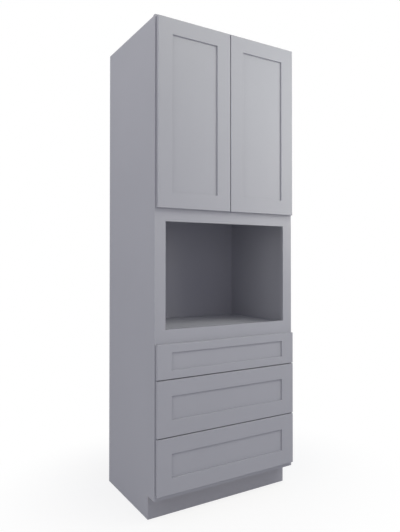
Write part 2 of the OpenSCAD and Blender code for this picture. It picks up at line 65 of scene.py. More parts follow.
# Studio light: a broad soft box high in front, a broad one at the left for the side panel, weak
# ones near the doors, and a dim, cooler sky all round, which leaves the oven bay dark.
SOFT_BOXES = (
    # name, place, aim, side in metres, watts, tint
    ("high_front_soft_box", (0.6, -2.2, 3.8), (0.0, 0.0, 1.0), 1.6, 30.7, (1.0, 1.0, 0.83)),
    ("low_front_soft_box", (0.0, -3.2, 1.5), (0.0, 0.0, 1.4), 2.0, 7.3, (1.0, 0.93, 0.86)),
    ("left_soft_box", (-3.2, -1.8, 1.6), (0.0, 0.0, 1.2), 2.0, 24.7, (1.0, 0.975, 0.85)),
    ("upper_left_soft_box", (-1.8, -0.2, 2.9), (-0.4, 0.0, 2.0), 1.0, 7.65, (1.0, 0.98, 0.88)),
    ("right_soft_box", (1.5, -1.5, 1.8), (0.1, 0.0, 1.7), 1.0, 10.2, (1.0, 0.98, 0.87)),
    ("upper_right_soft_box", (1.2, -1.4, 2.5), (0.2, 0.0, 1.9), 0.8, 5.2, (0.96, 1.0, 0.92)),
)
for name, place, aim, side, watts, tint in SOFT_BOXES:
    lamp = bpy.data.lights.new(name, "AREA")
    lamp.shape = "RECTANGLE"
    lamp.size = lamp.size_y = side
    lamp.energy = watts
    lamp.color = tint
    soft_box = bpy.data.objects.new(name, lamp)
    soft_box.location = place
    soft_box.visible_camera = False
    soft_box.rotation_euler = (Vector(aim) - Vector(place)).to_track_quat("-Z", "Y").to_euler()
    bpy.context.scene.collection.objects.link(soft_box)


def add(tree, kind, inputs=None, **settings):
    """Adds a shader node with its settings. An input is a value, a socket or a node, which
    stands for its first output."""
    item = tree.nodes.new("ShaderNode" + kind)
    for name, value in settings.items():
        setattr(item, name, value)
    for name, value in (inputs or {}).items():
        if isinstance(value, bpy.types.Node):
            value = value.outputs[0]
        if isinstance(value, bpy.types.NodeSocket):
            tree.links.new(value, item.inputs[name])
        else:
            item.inputs[name].default_value = value
    return item


def direct_view(tree):
    """1 for rays from the camera, from gloss and through glass, which see the white studio."""
    rays = add(tree, "LightPath").outputs
    seen = add(tree, "Math", {0: rays["Is Camera Ray"], 1: rays["Is Glossy Ray"]},
               operation="MAXIMUM")
    return add(tree, "Math", {0: seen, 1: rays["Is Transmission Ray"]}, operation="MAXIMUM")


SKY_LIGHT = 0.349
SKY_TINT = (0.78, 0.79, 1.0, 1)
world = bpy.data.worlds.new("white_studio")
world.use_nodes = True
tree = world.node_tree
tree.nodes.clear()
sky = add(tree, "Background", {"Color": SKY_TINT, "Strength": SKY_LIGHT})
white = add(tree, "Background", {"Color": (1, 1, 1, 1), "Strength": 1.0})
studio = add(tree, "MixShader", {0: direct_view(tree), 1: sky, 2: white})
add(tree, "OutputWorld", {"Surface": studio})
bpy.context.scene.world = world


# Studio floor: level, and painted matt white all over. Near the cabinet it takes the soft
# shadow, and further out it fades into the white background.
def linear(hex_colour):
    """Linear RGBA of an sRGB hex colour."""
    channels = [int(hex_colour[i:i + 2], 16) / 255 for i in (1, 3, 5)]
    return [c / 12.92 if c <= 0.04045 else ((c + 0.055) / 1.055) ** 2.4 for c in channels] + [1]


def new_material(name):
    """A material with an empty node tree."""
    material = bpy.data.materials.new(name)
    material.use_nodes = True
    material.node_tree.nodes.clear()
    return material, material.node_tree


# Lengths are in metres, unless the name says MM.
FLOOR_SIZE = 12.0
# The shadow is whole up to the first distance and gone at the second. Its oval is narrower
# from front to back.
SHADOW_WHOLE_TO, SHADOW_GONE_AT = 0.45, 1.35
SHADOW_OVAL = (1.0, 1.15, 0.0)
FLOOR_GLOW = 0.82
mesh = bpy.data.meshes.new("floor")
half = FLOOR_SIZE / 2
mesh.from_pydata([(-half, -half, 0), (half, -half, 0), (half, half, 0), (-half, half, 0)],
                 [], [(0, 1, 2, 3)])
floor = bpy.data.objects.new("floor", mesh)
bpy.context.scene.collection.objects.link(floor)
# Matt white paint: no gloss at all, so it shows the shadow's soft edge and nothing else.
matt_floor, tree = new_material("matt_white_studio_floor")
place = add(tree, "TexCoord").outputs["Object"]
away = add(tree, "VectorMath", {0: place, 1: SHADOW_OVAL}, operation="MULTIPLY")
away = add(tree, "VectorMath", {0: away}, operation="LENGTH").outputs["Value"]
fade = add(tree, "MapRange",
           {"Value": away, "From Min": SHADOW_WHOLE_TO, "From Max": SHADOW_GONE_AT},
           interpolation_type="SMOOTHSTEP")
matt = add(tree, "BsdfDiffuse", {"Color": linear("#7f7f7f")})
glow = add(tree, "Emission", {"Color": linear("#ffffff"), "Strength": FLOOR_GLOW})
lit = add(tree, "AddShader", {0: matt, 1: glow})
white = add(tree, "Emission", {"Color": linear("#ffffff"), "Strength": 1.0})
near = add(tree, "MixShader", {0: fade, 1: lit, 2: white})
plain = add(tree, "BsdfDiffuse", {"Color": linear("#e7e7e7")})
out = add(tree, "MixShader", {0: direct_view(tree), 1: plain, 2: near})
add(tree, "OutputMaterial", {"Surface": out})
mesh.materials.append(matt_floor)


# Hanging rails behind the back panel and the cleats under the oven shelf: strips of maple
# plywood, left bare because they are never seen, and glued and stapled to the cabinet.
X, Y, Z = 0, 1, 2
# A surface is square on to an axis where its normal's share along that axis is over this.
SQUARE_ON = 0.8
FIGURE_WIDTH_MM, FIGURE_LENGTH_MM = 70, 900
# Real maple pores are under 0.1 mm wide. They are drawn wider, or they wouldn't show.
VENEER_PORE_WIDTH_MM, VENEER_PORE_LENGTH_MM = 1.5, 28
PLY_MM = 1.6
PLY_WAVE_MM, PLY_WAVE_DEPTH = 33.33, 0.0004


def grain(tree, place, axis, across_mm, along_mm, **settings):
    """Noise stretched along one axis, with its cells sized in millimetres."""
    scale = [1000 / along_mm if i == axis else 1000 / across_mm for i in range(3)]
    drawn_out = add(tree, "Mapping", {"Vector": place, "Scale": scale})
    return add(tree, "TexNoise", {"Vector": drawn_out, "Scale": 1.0, **settings}).outputs["Fac"]


def facing(tree, axis):
    """1 where a surface faces along an axis of the object, either way."""
    normal = add(tree, "SeparateXYZ", {0: add(tree, "TexCoord").outputs["Normal"]}).outputs
    size = add(tree, "Math", {0: normal[axis]}, operation="ABSOLUTE")
    return add(tree, "Math", {0: size, 1: SQUARE_ON}, operation="GREATER_THAN")


def maple_veneer(tree, place, grain_axis):
    """Colour and pores of rotary-cut maple veneer: pale, with broad wavy figure and flecks."""
    figure = grain(tree, place, grain_axis, FIGURE_WIDTH_MM, FIGURE_LENGTH_MM,
                   Detail=2.0, Distortion=0.8)
    pores = grain(tree, place, grain_axis, VENEER_PORE_WIDTH_MM, VENEER_PORE_LENGTH_MM,
                  Detail=3.0, Roughness=0.6)
    shade = add(tree, "ValToRGB", {"Fac": figure})
    dark, light = shade.color_ramp.elements
    dark.position, dark.color = 0.3, linear("#d2b588")
    light.position, light.color = 0.7, linear("#e4cda5")
    fleck = add(tree, "MapRange",
                {"Value": pores, "From Min": 0.3, "From Max": 0.6, "To Min": 0.93})
    colour = add(tree, "MixRGB", {"Fac": 1.0, "Color1": shade, "Color2": fleck},
                 blend_type="MULTIPLY")
    return colour, pores


def ply_edge(tree, place, thickness_axis):
    """Cut edge of plywood: light and dark layers by turns, the dark ones being end grain."""
    along = add(tree, "SeparateXYZ", {0: place}).outputs[thickness_axis]
    wave = add(tree, "TexNoise", {"Vector": place, "Scale": 1000 / PLY_WAVE_MM, "Detail": 2.0})
    layer = add(tree, "Math", {0: wave.outputs["Fac"], 1: PLY_WAVE_DEPTH, 2: along},
                operation="MULTIPLY_ADD")
    layer = add(tree, "Math", {0: layer, 1: math.pi * 1000 / PLY_MM}, operation="MULTIPLY")
    layer = add(tree, "Math", {0: layer}, operation="SINE")
    band = add(tree, "MapRange", {"Value": layer, "From Min": -0.3, "From Max": 0.3})
    return add(tree, "MixRGB", {"Fac": band, "Color1": linear("#9c7749"),
                                "Color2": linear("#d4b685")})


def raw_plywood(tree, place, face, grain_axis, thickness_axis):
    """Unfinished maple plywood: dry pale faces, and its layers showing on every cut edge. Face
    is 1 on the veneer and 0 on the edges."""
    veneer, pores = maple_veneer(tree, place, grain_axis)
    edge = ply_edge(tree, place, thickness_axis)
    colour = add(tree, "MixRGB", {"Fac": face, "Color1": edge, "Color2": veneer})
    dry = add(tree, "MapRange", {"Value": pores, "To Min": 0.62, "To Max": 0.78})
    wood = add(tree, "BsdfPrincipled", {"Base Color": colour, "Roughness": dry, "IOR": 1.5,
                                        "Specular IOR Level": 0.35})
    return wood, pores


def bare_plywood(name, grain_axis, thickness_axis):
    """Raw plywood all over, whose open pores can be felt and take the gloss off the light."""
    material, tree = new_material(name)
    place = add(tree, "TexCoord").outputs["Object"]
    wood, pores = raw_plywood(tree, place, facing(tree, thickness_axis), grain_axis,
                              thickness_axis)
    relief = add(tree, "Bump", {"Height": pores, "Strength": 0.3, "Distance": 0.0003})
    tree.links.new(relief.outputs[0], wood.inputs["Normal"])
    add(tree, "OutputMaterial", {"Surface": wood})
    return material


def cover(material, *names):
    """Puts a material on CAD nodes."""
    for name in names:
        nodes[name].data.materials.clear()
        nodes[name].data.materials.append(material)


cover(bare_plywood("bare_maple_plywood_rail", X, Y), "hanging_rails")
cover(bare_plywood("bare_maple_plywood_cleat", Y, X), "oven_deck_cleats")


# Face frame and toe board: solid hard maple, milled, pocket-screwed and sprayed with a satin
# conversion varnish in a cool grey. The film is even; only a breath of grain and the fine
# ripple of the spray show when light rakes over it.
GREY_PAINT = "#a6a7b0"
GREY_PAINT_DEEP = "#a4a5ae"
# The gun's passes overlap a hand's length apart, and cloud the colour over a longer run.
PASS_CLOUD_MM = 434.8
# The spray's real ripple is under 1 mm and the pores are under 0.1 mm wide. Both are drawn
# coarser, so that they show.
SPRAY_RIPPLE_MM = 2.5
PORE_WIDTH_MM, PORE_LENGTH_MM = 1.6, 60


def grey_film(tree, colour, place, grain_axis, grain_depth):
    """Sprayed satin varnish over wood whose grain runs along an axis; depth 0 is smooth MDF."""
    pores = grain(tree, place, grain_axis, PORE_WIDTH_MM, PORE_LENGTH_MM,
                  Detail=4.0, Roughness=0.6)
    ripple = add(tree, "TexNoise",
                 {"Vector": place, "Scale": 1000 / SPRAY_RIPPLE_MM, "Detail": 2.0})
    satin = add(tree, "MapRange", {"Value": pores, "To Min": 0.42, "To Max": 0.50})
    relief = add(tree, "Bump", {"Height": pores, "Strength": 0.05 * grain_depth,
                                "Distance": 0.0003})
    relief = add(tree, "Bump", {"Height": ripple.outputs["Fac"], "Strength": 0.12,
                                "Distance": 0.0002, "Normal": relief})
    return add(tree, "BsdfPrincipled", {"Base Color": colour, "Roughness": satin, "IOR": 1.5,
                                        "Specular IOR Level": 0.4, "Normal": relief})


def grey_tone(tree, place, light=GREY_PAINT, deep=GREY_PAINT_DEEP):
    """The varnish's colour, which clouds a little from the overlap of the gun's passes."""
    clouds = add(tree, "TexNoise",
                 {"Vector": place, "Scale": 1000 / PASS_CLOUD_MM, "Detail": 3.0})
    shade = add(tree, "MapRange",
                {"Value": clouds.outputs["Fac"], "From Min": 0.35, "From Max": 0.65})
    return add(tree, "MixRGB", {"Fac": shade, "Color1": linear(deep), "Color2": linear(light)})


def sprayed_grey(name, grain_axis, grain_depth):
    """Grey satin varnish all over: soft broad highlights, and hardly any grain."""
    material, tree = new_material(name)
    place = add(tree, "TexCoord").outputs["Object"]
    film = grey_film(tree, grey_tone(tree, place), place, grain_axis, grain_depth)
    add(tree, "OutputMaterial", {"Surface": film})
    return material


upright_maple = sprayed_grey("sprayed_grey_maple_upright", Z, 1.0)
level_maple = sprayed_grey("sprayed_grey_maple_level", X, 1.0)
cover(upright_maple, "frame_left_stile", "frame_right_stile", "oven_opening_stiles")
cover(level_maple, "frame_top_rail", "frame_upper_oven_rail", "frame_lower_oven_rail",
      "frame_drawer_rails", "frame_bottom_rail", "toe_board")


# Side panels: half-inch maple plywood, sprayed grey on both faces and the front edges. Their
# back, top and bottom edges stay raw, and show the layers of the plywood.
def painted_plywood(name, grain_axis, thickness_axis, light=GREY_PAINT, deep=GREY_PAINT_DEEP,
                    bare_face=None):
    """Plywood painted on its faces and front edges, and raw on its other edges. A face that is
    never seen can stay raw too: 1 for the face towards the axis's end, -1 for the other."""
    material, tree = new_material(name)
    place = add(tree, "TexCoord").outputs["Object"]
    film = grey_film(tree, grey_tone(tree, place, light, deep), place, grain_axis, 0.5)
    face = facing(tree, thickness_axis)
    wood, _ = raw_plywood(tree, place, face, grain_axis, thickness_axis)
    normal = add(tree, "SeparateXYZ", {0: add(tree, "TexCoord").outputs["Normal"]}).outputs
    if bare_face is not None:
        shown = add(tree, "Math", {0: normal[thickness_axis], 1: -bare_face},
                    operation="MULTIPLY")
        face = add(tree, "Math", {0: shown, 1: SQUARE_ON}, operation="GREATER_THAN")
    front = add(tree, "Math", {0: normal[Y], 1: -SQUARE_ON}, operation="LESS_THAN")
    painted = add(tree, "Math", {0: face, 1: front}, operation="MAXIMUM")
    both = add(tree, "MixShader", {0: painted, 1: wood, 2: film})
    add(tree, "OutputMaterial", {"Surface": both})
    return material


cover(painted_plywood("painted_plywood_side", Z, X), "left_side_panel", "right_side_panel")


# Decks, top, back and adjustable shelves: maple plywood, painted to match where the inside is
# seen and left bare on the faces that turn to the wall, the floor and the ceiling. The oven
# shelf's grey is a shade lighter as painted light, standing in for the light that falls on it
# through the oven bay. The adjustable shelves are edged and painted all over.
BACKWARD, DOWNWARD, UPWARD = 1, -1, 1
# Painted light: the oven shelf's grey is lighter than the other paint, for the light in the oven
# bay.
OVEN_SHELF_PAINTED_LIGHT = "#bfc0c9"
OVEN_SHELF_PAINTED_LIGHT_DEEP = "#bbbcc5"
cover(painted_plywood("painted_plywood_back", Z, Y, bare_face=BACKWARD), "back_panel")
cover(painted_plywood("painted_plywood_top", X, Z, bare_face=UPWARD), "top_panel")
cover(painted_plywood("painted_plywood_bottom", X, Z, bare_face=DOWNWARD), "bottom_deck")
cover(painted_plywood("painted_plywood_deck", X, Z), "upper_deck")
cover(painted_plywood("painted_plywood_oven_deck", X, Z, OVEN_SHELF_PAINTED_LIGHT,
                      OVEN_SHELF_PAINTED_LIGHT_DEEP), "oven_deck")
cover(level_maple, "adjustable_shelves")


# Doors and drawer fronts: maple stiles and rails with eased inner edges, coped together round a
# flat MDF panel, and sprayed as one piece in the same grey. The MDF has no grain to show.
smooth_mdf = sprayed_grey("sprayed_grey_mdf", Z, 0.0)
for side in ("left", "right"):
    cover(upright_maple, f"{side}_door_hinge_stile", f"{side}_door_lock_stile")
    cover(level_maple, f"{side}_door_rails")
    cover(smooth_mdf, f"{side}_door_panel")
for drawer in ("top", "middle", "bottom"):
    cover(upright_maple, f"{drawer}_drawer_front_stiles")
    cover(level_maple, f"{drawer}_drawer_front_rails")
    cover(smooth_mdf, f"{drawer}_drawer_front_panel")


# Bumpers: small clear polyurethane domes with a sticky back, pressed on the backs of the doors
# and drawer fronts near their corners. They set the gap to the face frame and soften the close.
BUMPER_R, BUMPER_H = 0.004, 0.0018
BUMPER_IN = 0.014
HAZE_MM = 1.1111
SMOOTH_UNDER_DEG = 35


def turned(name, profile, steps=24):
    """Mesh turned about z from (radius, height) points, which run from the axis back to it."""
    mesh = bpy.data.meshes.new(name)
    body = bmesh.new()
    turns = [2 * math.pi * i / steps for i in range(steps)]
    rings = []
    for radius, height in profile:
        if radius == 0:
            rings.append([body.verts.new((0, 0, height))])
        else:
            rings.append([body.verts.new((radius * math.cos(t), radius * math.sin(t), height))
                          for t in turns])
    for low, high in zip(rings, rings[1:]):
        for i in range(steps):
            j = (i + 1) % steps
            corners = [low[i % len(low)], low[j % len(low)],
                       high[j % len(high)], high[i % len(high)]]
            body.faces.new(list(dict.fromkeys(corners)))
    bmesh.ops.recalc_face_normals(body, faces=body.faces)
    body.to_mesh(mesh)
    body.free()
    return mesh


def toward(direction, place):
    """Matrix that puts the origin at a place and turns z to a direction."""
    turn = Vector(direction).to_track_quat("Z", "Y").to_matrix().to_4x4()
    return Matrix.Translation(place) @ turn


def copies(name, mesh, material, places):
    """One object made of copies of a mesh, one for each matrix, which may mirror it."""
    body = bmesh.new()
    for place in places:
        seen = len(body.verts)
        body.from_mesh(mesh)
        body.verts.ensure_lookup_table()
        bmesh.ops.transform(body, matrix=place, verts=body.verts[seen:])
    if any(place.determinant() < 0 for place in places):
        bmesh.ops.recalc_face_normals(body, faces=body.faces)
    merged = bpy.data.meshes.new(name)
    body.to_mesh(merged)
    body.free()
    merged.shade_smooth()
    merged.set_sharp_from_angle(angle=math.radians(SMOOTH_UNDER_DEG))
    merged.materials.append(material)
    piece = bpy.data.objects.new(name, merged)
    bpy.context.scene.collection.objects.link(piece)
    return piece


# Moulded clear polyurethane: slightly cloudy, clear rubber with a soft gloss. Its real haze is
# much finer than a millimetre and is drawn coarser, so that it shows.
clear_rubber, tree = new_material("moulded_clear_polyurethane")
place = add(tree, "TexCoord").outputs["Object"]
haze = add(tree, "TexNoise", {"Vector": place, "Scale": 1000 / HAZE_MM, "Detail": 2.0})
haze = haze.outputs["Fac"]
soft = add(tree, "MapRange", {"Value": haze, "To Min": 0.16, "To Max": 0.34})
tint = add(tree, "MixRGB", {"Fac": haze, "Color1": linear("#d9dad6"),
                            "Color2": linear("#ecece8")})
rubber = add(tree, "BsdfPrincipled", {"Base Color": tint, "Roughness": soft, "IOR": 1.5,
                                      "Transmission Weight": 0.35})
add(tree, "OutputMaterial", {"Surface": rubber})
bumper = turned("bumper", [
    (0, 0), (BUMPER_R, 0), (BUMPER_R, 0.45 * BUMPER_H), (0.92 * BUMPER_R, 0.75 * BUMPER_H),
    (0.7 * BUMPER_R, 0.93 * BUMPER_H), (0.35 * BUMPER_R, BUMPER_H), (0, BUMPER_H)])
for side in ("left", "right"):
    low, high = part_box(f"{side}_door_lock_stile")
    x = high[0] - BUMPER_IN if side == "left" else low[0] + BUMPER_IN
    places = [toward((0, 1, 0), (x, high[1], z))
              for z in (low[2] + BUMPER_IN, high[2] - BUMPER_IN)]
    piece = copies(f"{side}_door_bumpers", bumper, clear_rubber, places)
    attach(piece, f"{side}_door")
for drawer in ("top", "middle", "bottom"):
    low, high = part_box(f"{drawer}_drawer_front_stiles")
    places = [toward((0, 1, 0), (x, high[1], z))
              for x in (low[0] + BUMPER_IN, high[0] - BUMPER_IN)
              for z in (low[2] + BUMPER_IN, high[2] - BUMPER_IN)]
    piece = copies(f"{drawer}_drawer_bumpers", bumper, clear_rubber, places)
    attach(piece, f"{drawer}_drawer")


# Concealed hinges: sheet steel, stamped, drawn into cups and satin nickel plated. The cups are
# pressed into bores in the doors, and the plates lie on the edges of the face frame.
PLATING_CLOUD_MM = 22.22
# The mill's real rolling lines are a few hundredths of a millimetre apart. They are drawn
# coarser, so that they show.
ROLLING_WIDTH_MM, ROLLING_LENGTH_MM = 0.8, 60


def plated_steel(name, dark, light, smooth, rough, rolled_axis):
    """Plated sheet steel: reflections softened along the mill's fine rolling lines."""
    material, tree = new_material(name)
    place = add(tree, "TexCoord").outputs["Object"]
    lines = grain(tree, place, rolled_axis, ROLLING_WIDTH_MM, ROLLING_LENGTH_MM, Detail=3.0)
    clouds = add(tree, "TexNoise",
                 {"Vector": place, "Scale": 1000 / PLATING_CLOUD_MM, "Detail": 3.0})
    tint = add(tree, "MapRange",
               {"Value": clouds.outputs["Fac"], "From Min": 0.3, "From Max": 0.7})
    colour = add(tree, "MixRGB", {"Fac": tint, "Color1": linear(dark), "Color2": linear(light)})
    polish = add(tree, "MapRange", {"Value": lines, "To Min": smooth, "To Max": rough})
    relief = add(tree, "Bump", {"Height": lines, "Strength": 0.15, "Distance": 0.0001})
    steel = add(tree, "BsdfPrincipled", {"Base Color": colour, "Metallic": 1.0,
                                         "Roughness": polish, "Normal": relief})
    add(tree, "OutputMaterial", {"Surface": steel})
    return material


# Satin nickel: a neutral silver whose reflections are blurred but still bright.
nickel = plated_steel("stamped_nickel_plated_steel", "#bab9b5", "#d1d0cd", 0.34, 0.48, Z)
for side in ("left", "right"):
    cover(nickel, f"{side}_hinge_cups", f"{side}_hinge_links")
cover(nickel, "hinge_arms")


# Hinge screws: short pan-head steel screws with a cross recess, nickel plated like the hinges.
# Two hold each cup's flange on the door, and two hold each plate on the face frame.
FLANGE_SCREW_R, FLANGE_SCREW_H = 0.0036, 0.0007
PLATE_SCREW_R, PLATE_SCREW_H = 0.0036, 0.0020
FLANGE_SCREW_IN = 0.0095
FLANGE_SCREW_PITCH = 0.045
FLANGE_WING_W = 0.014
CUP_D = 0.035
CUP_EDGE = 0.005
PLATE_T = 0.0015
PLATE_SCREW_PITCH = 0.032
# The cross recess, in shares of the head's radius and height.
RECESS_REACH, RECESS_HALF_W = 0.62, 0.13
RECESS_FOOT_REACH, RECESS_FOOT_W = 0.45, 0.9
RECESS_FLOOR, RECESS_TOP = 0.3, 1.5


def screw_head(name, head_r, head_h):
    """Domed head with a cross recess, standing on z = 0."""
    mesh = turned(name, [(0, 0), (head_r, 0), (head_r, 0.35 * head_h),
                         (0.9 * head_r, 0.65 * head_h), (0.62 * head_r, 0.9 * head_h),
                         (0, head_h)], steps=32)
    cutters = []
    for turn in (0, math.pi / 2):
        cutter = bpy.data.meshes.new(name + "_recess")
        blade = bmesh.new()
        half_l, half_w = RECESS_REACH * head_r, RECESS_HALF_W * head_r
        ring = [(-half_l, -half_w), (half_l, -half_w), (half_l, half_w), (-half_l, half_w)]
        top = [blade.verts.new((x, y, RECESS_TOP * head_h)) for x, y in ring]
        foot = [blade.verts.new((RECESS_FOOT_REACH * x, RECESS_FOOT_W * y,
                                 RECESS_FLOOR * head_h)) for x, y in ring]
        blade.faces.new(top)
        blade.faces.new(foot[::-1])
        for i in range(4):
            blade.faces.new([top[i], foot[i], foot[(i + 1) % 4], top[(i + 1) % 4]])
        bmesh.ops.rotate(blade, verts=blade.verts, matrix=Matrix.Rotation(turn, 3, "Z"))
        bmesh.ops.recalc_face_normals(blade, faces=blade.faces)
        blade.to_mesh(cutter)
        blade.free()
        cutters.append(bpy.data.objects.new(cutter.name, cutter))
    head = bpy.data.objects.new(name, mesh)
    for item in (head, *cutters):
        bpy.context.scene.collection.objects.link(item)
    for cutter in cutters:
        cut = head.modifiers.new("recess", "BOOLEAN")
        cut.operation, cut.object, cut.solver = "DIFFERENCE", cutter, "EXACT"
    bpy.context.view_layer.update()
    finished = head.evaluated_get(bpy.context.evaluated_depsgraph_get())
    done = bpy.data.meshes.new_from_object(finished)
    for item in (head, *cutters):
        bpy.data.objects.remove(item)
    return done


flange_screw = screw_head("flange_screw", FLANGE_SCREW_R, FLANGE_SCREW_H)
plate_screw = screw_head("plate_screw", PLATE_SCREW_R, PLATE_SCREW_H)
screw_line = CUP_EDGE + CUP_D / 2 + FLANGE_SCREW_IN
half_flange = (FLANGE_SCREW_PITCH + FLANGE_WING_W) / 2
for side in ("left", "right"):
    low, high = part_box(f"{side}_hinge_cups")
    hinge_heights = (low[2] + half_flange, high[2] - half_flange)
    stile_low, stile_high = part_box(f"{side}_door_hinge_stile")
    x = stile_low[0] + screw_line if side == "left" else stile_high[0] - screw_line
    places = [toward((0, 1, 0), (x, high[1], z + end * FLANGE_SCREW_PITCH / 2))
              for z in hinge_heights for end in (-1, 1)]
    piece = copies(f"{side}_hinge_flange_screws", flange_screw, nickel, places)
    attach(piece, f"{side}_door")
# The hinges of both doors sit at the same heights, and the two stiles mirror each other.
stile_low, stile_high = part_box("frame_left_stile")
plate_x = -(stile_high[0] + PLATE_T)
plate_y = (stile_low[1] + stile_high[1]) / 2
places = [toward((-side, 0, 0), (side * plate_x, plate_y, z + end * PLATE_SCREW_PITCH / 2))
          for side in (-1, 1) for z in hinge_heights for end in (-1, 1)]
piece = copies("hinge_plate_screws", plate_screw, nickel, places)
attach(piece, "carcass")


# Drawer boxes: solid hard maple, glued up from strips, dovetailed at the corners, sanded and
# clear lacquered. The corners show end grain, which soaks up lacquer and goes darker. The
# bottoms are maple plywood in grooves, drawn as dry as bare plywood.
STRIP_MM = 75
STRIP_CONTRAST = 0.35
LACQUERED_FIGURE_WIDTH_MM, LACQUERED_FIGURE_LENGTH_MM = 16, 500
# The pores and the specks of end grain are drawn several times wider than real ones, which
# are under 0.1 mm, so that they show.
LACQUERED_PORE_WIDTH_MM, LACQUERED_PORE_LENGTH_MM = 0.9, 26
END_GRAIN_MM = 1.4286


def lacquered_maple(name, grain_axis, strip_axis):
    """Clear lacquered maple: pale and warm, with a slight sheen, and darker on its end grain."""
    material, tree = new_material(name)
    place = add(tree, "TexCoord").outputs["Object"]
    figure = grain(tree, place, grain_axis, LACQUERED_FIGURE_WIDTH_MM,
                   LACQUERED_FIGURE_LENGTH_MM, Detail=4.0, Distortion=0.6)
    pores = grain(tree, place, grain_axis, LACQUERED_PORE_WIDTH_MM,
                  LACQUERED_PORE_LENGTH_MM, Detail=2.0)
    strip = add(tree, "SeparateXYZ", {0: place}).outputs[strip_axis]
    strip = add(tree, "Math", {0: strip, 1: 1000 / STRIP_MM}, operation="MULTIPLY")
    strip = add(tree, "Math", {0: strip}, operation="FLOOR")
    strip = add(tree, "TexWhiteNoise", {"W": strip}, noise_dimensions="1D").outputs["Value"]
    shade = add(tree, "Math", {0: strip, 1: STRIP_CONTRAST, 2: figure},
                operation="MULTIPLY_ADD")
    shade = add(tree, "MapRange", {"Value": shade, "From Min": 0.4, "From Max": 1.0})
    colour = add(tree, "MixRGB", {"Fac": shade, "Color1": linear("#c49a66"),
                                  "Color2": linear("#e2c496")})
    fleck = add(tree, "MapRange",
                {"Value": pores, "From Min": 0.3, "From Max": 0.6, "To Min": 0.9})
    colour = add(tree, "MixRGB", {"Fac": 1.0, "Color1": colour, "Color2": fleck},
                 blend_type="MULTIPLY")
    end = add(tree, "TexNoise", {"Vector": place, "Scale": 1000 / END_GRAIN_MM, "Detail": 2.0})
    end = add(tree, "MixRGB", {"Fac": end.outputs["Fac"], "Color1": linear("#94683a"),
                               "Color2": linear("#b98d59")})
    colour = add(tree, "MixRGB", {"Fac": facing(tree, grain_axis), "Color1": colour,
                                  "Color2": end})
    sheen = add(tree, "MapRange", {"Value": pores, "To Min": 0.30, "To Max": 0.42})
    relief = add(tree, "Bump", {"Height": pores, "Strength": 0.12, "Distance": 0.0002})
    wood = add(tree, "BsdfPrincipled", {"Base Color": colour, "Roughness": sheen, "IOR": 1.5,
                                        "Coat Weight": 0.25, "Coat Roughness": 0.2,
                                        "Normal": relief})
    add(tree, "OutputMaterial", {"Surface": wood})
    return material


maple_sides = lacquered_maple("lacquered_maple_side_board", Y, Z)
maple_ends = lacquered_maple("lacquered_maple_end_board", X, Z)
ply_bottom = bare_plywood("lacquered_maple_plywood_bottom", X, Z)
for drawer in ("top", "middle", "bottom"):
    cover(maple_sides, f"{drawer}_drawer_sides")
    cover(maple_ends, f"{drawer}_drawer_ends")
    cover(ply_bottom, f"{drawer}_drawer_bottom")


# Drawer slides and their rear brackets: zinc plated steel, roll-formed into channels. The rails
# are screwed to the face frame and the brackets to the back panel, and the runners sit under
# the box. Zinc is greyer and duller than nickel, with a faint blue cast.
zinc = plated_steel("roll_formed_zinc_plated_steel", "#b4b9bd", "#cdd1d4", 0.36, 0.52, Y)
cover(zinc, "slide_rails", "slide_rear_brackets")
for drawer in ("top", "middle", "bottom"):
    cover(zinc, f"{drawer}_drawer_slide_runners", f"{drawer}_drawer_slide_middles")


# Shelf pins: steel, cold-headed, flattened under the shelf and zinc plated. They plug into rows
# of holes drilled in the sides. Heading leaves them a little smoother than the rolled slides.
pin_zinc = plated_steel("cold_headed_zinc_plated_steel", "#b4b9bd", "#cdd1d4", 0.32, 0.46, X)
cover(pin_zinc, "shelf_pins")


# Screws of the drawers: washer heads that hold each front from inside its box, and pan heads in
# the wings and brackets of the slides. All are zinc plated and driven with a cross bit.
BOX_T = 0.0159
FRONT_SCREW_R, FRONT_SCREW_H = 0.0055, 0.0024
FRONT_SCREW_IN = 0.055
# In shares of the box's height above its bottom.
FRONT_SCREW_HEIGHTS = (0.3, 0.8)
SLIDE_SCREW_R, SLIDE_SCREW_H = 0.0034, 0.0018
STEEL_T = 0.0015
MIDDLE_W = 0.0342
WING_SCREW_IN = 0.007
WING_SCREW_UP = 0.0041
BRACKET_SCREW_PITCH = 0.040
BRACKET_SCREW_UP = 0.0078
front_screw = screw_head("front_screw", FRONT_SCREW_R, FRONT_SCREW_H)
slide_screw = screw_head("slide_screw", SLIDE_SCREW_R, SLIDE_SCREW_H)
stile_low, stile_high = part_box("frame_right_stile")
brackets_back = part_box("slide_rear_brackets")[1][1]
wing_places, bracket_places = [], []
for drawer in ("top", "middle", "bottom"):
    low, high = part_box(f"{drawer}_drawer_ends")
    floor_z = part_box(f"{drawer}_drawer_bottom")[1][2]
    middles_low, middles_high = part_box(f"{drawer}_drawer_slide_middles")
    places = [toward((0, 1, 0), (side * (high[0] - BOX_T - FRONT_SCREW_IN), low[1] + BOX_T,
                                 floor_z + share * (high[2] - floor_z)))
              for side in (-1, 1) for share in FRONT_SCREW_HEIGHTS]
    piece = copies(f"{drawer}_drawer_front_screws", front_screw, zinc, places)
    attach(piece, f"{drawer}_drawer")
    slide_x = middles_high[0] - MIDDLE_W / 2
    for side in (-1, 1):
        wing_places.append(toward((0, 1, 0), (
            side * (stile_low[0] + WING_SCREW_IN), stile_high[1] + STEEL_T,
            middles_low[2] + WING_SCREW_UP)))
        for end in (-1, 1):
            bracket_places.append(toward((0, -1, 0), (
                side * (slide_x + end * BRACKET_SCREW_PITCH / 2), brackets_back - STEEL_T,
                middles_low[2] + BRACKET_SCREW_UP)))
piece = copies("slide_screws", slide_screw, zinc, wing_places + bracket_places)
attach(piece, "carcass")


